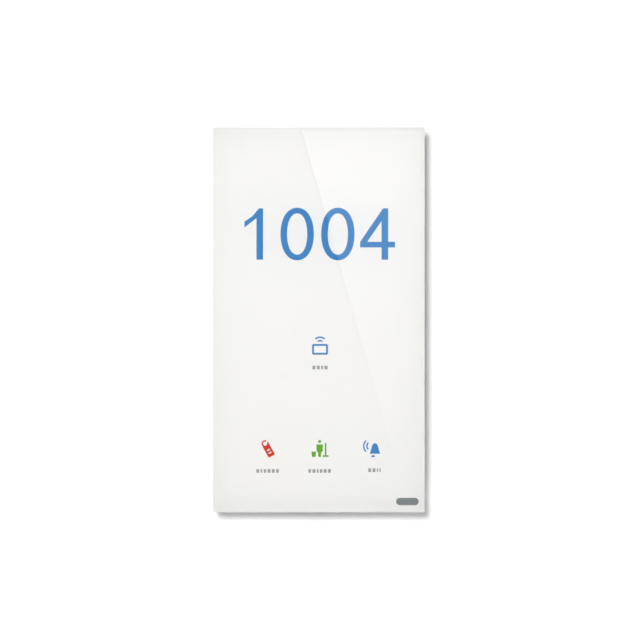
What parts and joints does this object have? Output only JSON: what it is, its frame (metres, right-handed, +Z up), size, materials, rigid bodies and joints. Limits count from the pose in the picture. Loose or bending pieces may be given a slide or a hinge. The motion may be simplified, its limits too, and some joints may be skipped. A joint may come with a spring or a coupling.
{
  "type": "rfid card reader",
  "caption": "Glass-fronted flush wall card reader with a large number and service symbols, a coupler pot behind it and a steel mounting frame that it hooks onto.",
  "frame": {"origin": "centre of the two wall-box screw slots, on the face of the mounting frame that lies on the wall", "axes": "+X to the right seen from the room, +Y into the wall, +Z up; the glass front faces -Y"},
  "size_m": [0.086, 0.0363, 0.1564],
  "materials": {
    "cover_glass": "clear, polished, ground bevel",
    "print_white": "printed white film",
    "symbol_blue": "translucent blue film",
    "symbol_red": "translucent red film",
    "symbol_green": "translucent green film",
    "print_grey": "printed grey",
    "tape": "foam adhesive tape",
    "diffuser": "frosted foil",
    "housing_white": "fine spark texture",
    "baffle_white": "moulded white",
    "cover_grey": "fine spark texture",
    "board": "solder mask",
    "copper": "gold plated copper",
    "chip_black": "moulded epoxy",
    "diode_white": "diode body",
    "tinned": "tin plated",
    "frame_steel": "zinc plated sheet",
    "screw_steel": "zinc plated",
    "pad_rubber": "soft rubber",
    "label_silver": "blank silver foil",
    "light_red": "red diode lens",
    "button_grey": "moulded",
    "pole_red": "moulded",
    "pole_black": "moulded",
    "pole_yellow": "moulded",
    "pole_white": "moulded"
  },
  "bodies": {
    "wall_frame": {"mounting_frame": "frame_steel", "lock_nut": "screw_steel", "damper_pads": "pad_rubber"},
    "reader": {"cover_glass": "cover_glass", "back_print": "print_white", "number_inlay": "symbol_blue", "card_inlay": "symbol_blue", "bell_inlay": "symbol_blue", "privacy_inlay": "symbol_red", "service_inlay": "symbol_green", "label_marks": "print_grey", "corner_mark": "print_grey", "glass_tape": "tape", "diffuser_foil": "diffuser", "front_housing": "housing_white", "light_baffle": "baffle_white", "rear_cover": "cover_grey", "coupler_case": "cover_grey", "main_board": "board", "coupler_board": "board", "antenna_coil": "copper", "touch_pads": "copper", "controller_chip": "chip_black", "reader_chip": "chip_black", "touch_chip": "chip_black", "sounder": "chip_black", "bus_capacitors": "chip_black", "bus_choke": "chip_black", "link_plug": "chip_black", "link_socket": "chip_black", "pin_bases": "chip_black", "board_passives": "chip_black", "program_switch": "chip_black", "light_diodes": "diode_white", "crystal": "tinned", "bus_pins": "tinned", "aux_pins": "tinned", "cover_screws": "screw_steel", "board_screws": "screw_steel", "coupler_screws": "screw_steel", "rating_label": "label_silver", "program_light": "light_red"},
    "lock_washer": {"lock_washer": "screw_steel"},
    "lock_screw": {"lock_screw": "screw_steel"},
    "program_button": {"program_button": "button_grey"},
    "bus_terminal": {"bus_terminal_red": "pole_red", "bus_terminal_black": "pole_black", "bus_contacts": "tinned"},
    "aux_terminal": {"aux_terminal_yellow": "pole_yellow", "aux_terminal_white": "pole_white", "aux_contacts": "tinned"}
  },
  "joints": [
    {"name": "reader_tilt", "type": "hinge", "parent": "wall_frame", "child": "reader", "pos_m": [0, -0.003, 0.072], "axis": [-1, 0, 0], "range_deg": [0, 25]},
    {"name": "lock_screw_advance", "type": "slide", "parent": "reader", "child": "lock_washer", "axis": [0, 0, 1], "range_m": [0, 0.0027]},
    {"name": "lock_screw_turn", "type": "hinge", "parent": "lock_washer", "child": "lock_screw", "pos_m": [0, -0.004, -0.074], "axis": [0, 0, 1], "range_deg": [0, 2160]},
    {"name": "program_button_press", "type": "slide", "parent": "reader", "child": "program_button", "axis": [0, -1, 0], "range_m": [0, 0.0005], "stiffness_N_per_m": 250},
    {"name": "bus_terminal_pull", "type": "slide", "parent": "reader", "child": "bus_terminal", "axis": [0, 1, 0], "range_m": [0, 0.008]},
    {"name": "aux_terminal_pull", "type": "slide", "parent": "reader", "child": "aux_terminal", "axis": [0, 1, 0], "range_m": [0, 0.008]}
  ],
  "couplings": [
    {"joint": "lock_screw_turn", "follows": "lock_screw_advance", "rad_per_m": 13963}
  ]
}
